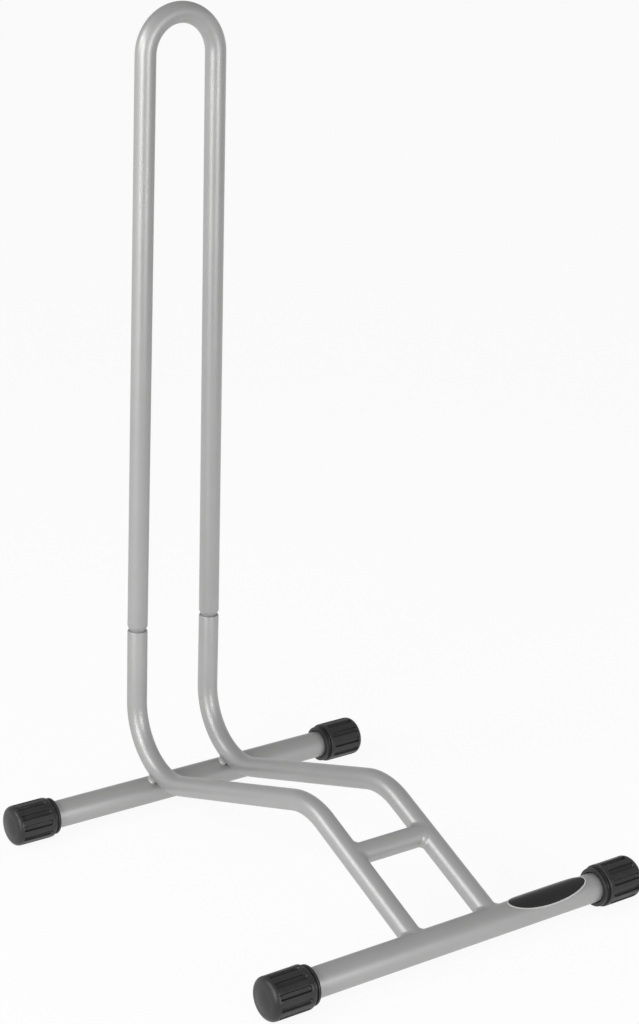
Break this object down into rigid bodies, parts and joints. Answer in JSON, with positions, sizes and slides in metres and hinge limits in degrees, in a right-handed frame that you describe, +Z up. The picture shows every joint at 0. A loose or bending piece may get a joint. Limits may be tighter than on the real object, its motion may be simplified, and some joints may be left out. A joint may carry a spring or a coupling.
{
  "type": "floor bike rack",
  "caption": "Tubular steel floor rack that holds one bicycle by its front wheel, with a tall upright hoop and rubber end caps.",
  "frame": {"origin": "on the floor, in the middle of the rack's outline seen from above", "axes": "+Z up along the hoop, -Y the side the bicycle is wheeled in from, +X to the right seen from there"},
  "size_m": [0.395, 0.4594, 0.7494],
  "materials": {
    "painted_steel": "satin silver-grey powder coat",
    "black_rubber": "matt moulded rubber",
    "black_plate": "smooth black film, bare, with a thin pale border"
  },
  "bodies": {
    "base": {"rear_cross_tube": "painted_steel", "front_cross_tube": "painted_steel", "left_rail": "painted_steel", "right_rail": "painted_steel", "rung": "painted_steel", "oval_plate": "black_plate", "rear_left_cap": "black_rubber", "front_left_cap": "black_rubber", "left_front_weld": "painted_steel", "left_rung_weld": "painted_steel", "left_heel_outer_weld": "painted_steel", "left_heel_inner_weld": "painted_steel", "rear_right_cap": "black_rubber", "front_right_cap": "black_rubber", "right_front_weld": "painted_steel", "right_rung_weld": "painted_steel", "right_heel_outer_weld": "painted_steel", "right_heel_inner_weld": "painted_steel"},
    "hoop": {"hoop": "painted_steel"}
  },
  "joints": [
    {"name": "hoop_lift", "type": "slide", "parent": "base", "child": "hoop", "axis": [0, -0.041, 0.9992], "range_m": [0, 0.042]}
  ]
}
